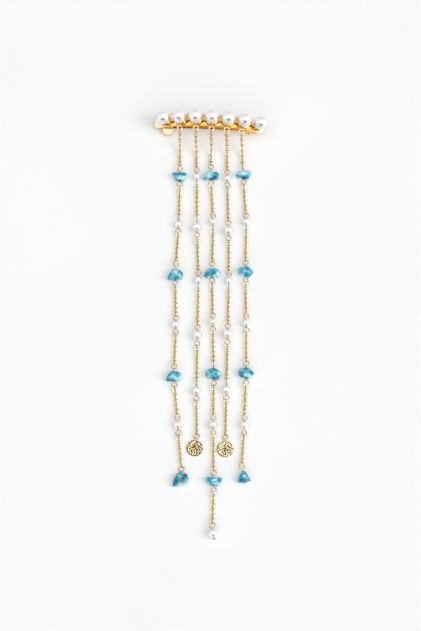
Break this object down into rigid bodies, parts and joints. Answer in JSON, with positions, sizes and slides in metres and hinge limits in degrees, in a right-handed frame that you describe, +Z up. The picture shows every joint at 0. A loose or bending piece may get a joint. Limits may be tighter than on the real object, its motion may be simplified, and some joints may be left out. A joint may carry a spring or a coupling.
{
  "type": "pearl hair clip",
  "caption": "Curved gold hair clip with a row of pearls in cups, hung with strands of fine chain strung with pearls, turquoise chips and textured discs.",
  "frame": {"origin": "on the table under the middle of the piece's box", "axes": "+X along the clip to its hinge end, +Y up the strands to the clip, +Z up from the table"},
  "size_m": [0.0638, 0.2461, 0.0177],
  "materials": {
    "clip_gold": "polished gold plating",
    "wire_gold": "polished gold plated wire",
    "chain_gold": "bright pale gold cable chain",
    "textured_gold": "cast relief with darkened hollows",
    "clip_pearl": "pearl lacquer",
    "strand_pearl": "pearl lacquer",
    "turquoise": "tumbled and waxed"
  },
  "bodies": {
    "clip_and_strands": {"clip_plate": "clip_gold", "hinge_pin": "clip_gold", "clip_pearl_1": "clip_pearl", "clip_pearl_2": "clip_pearl", "clip_pearl_3": "clip_pearl", "clip_pearl_4": "clip_pearl", "clip_pearl_5": "clip_pearl", "clip_pearl_6": "clip_pearl", "clip_pearl_7": "clip_pearl", "strand_1_chain": "chain_gold", "strand_1_chip_1": "turquoise", "strand_1_chip_2": "turquoise", "strand_1_chip_3": "turquoise", "strand_1_chip_4": "turquoise", "strand_1_pearl_1": "strand_pearl", "strand_1_pearl_2": "strand_pearl", "strand_1_pearl_3": "strand_pearl", "strand_1_pins": "wire_gold", "strand_2_chain": "chain_gold", "strand_2_disc": "textured_gold", "strand_2_pearl_1": "strand_pearl", "strand_2_pearl_2": "strand_pearl", "strand_2_pearl_3": "strand_pearl", "strand_2_pearl_4": "strand_pearl", "strand_2_pearl_5": "strand_pearl", "strand_2_pins": "wire_gold", "strand_3_chain": "chain_gold", "strand_3_chip_1": "turquoise", "strand_3_chip_2": "turquoise", "strand_3_chip_3": "turquoise", "strand_3_chip_4": "turquoise", "strand_3_pearl_1": "strand_pearl", "strand_3_pearl_2": "strand_pearl", "strand_3_pearl_3": "strand_pearl", "strand_3_pearl_4": "strand_pearl", "strand_3_pins": "wire_gold", "strand_4_chain": "chain_gold", "strand_4_disc": "textured_gold", "strand_4_pearl_1": "strand_pearl", "strand_4_pearl_2": "strand_pearl", "strand_4_pearl_3": "strand_pearl", "strand_4_pearl_4": "strand_pearl", "strand_4_pearl_5": "strand_pearl", "strand_4_pins": "wire_gold", "strand_5_chain": "chain_gold", "strand_5_chip_1": "turquoise", "strand_5_chip_2": "turquoise", "strand_5_chip_3": "turquoise", "strand_5_chip_4": "turquoise", "strand_5_pearl_1": "strand_pearl", "strand_5_pearl_2": "strand_pearl", "strand_5_pearl_3": "strand_pearl", "strand_5_pins": "wire_gold"},
    "arm": {"clip_arm": "clip_gold"}
  },
  "joints": [
    {"name": "arm_hinge", "type": "hinge", "parent": "clip_and_strands", "child": "arm", "pos_m": [0.02201, 0.11308, 0.0019], "axis": [-0.0628, -0.998, 0], "range_deg": [0, 70]}
  ]
}
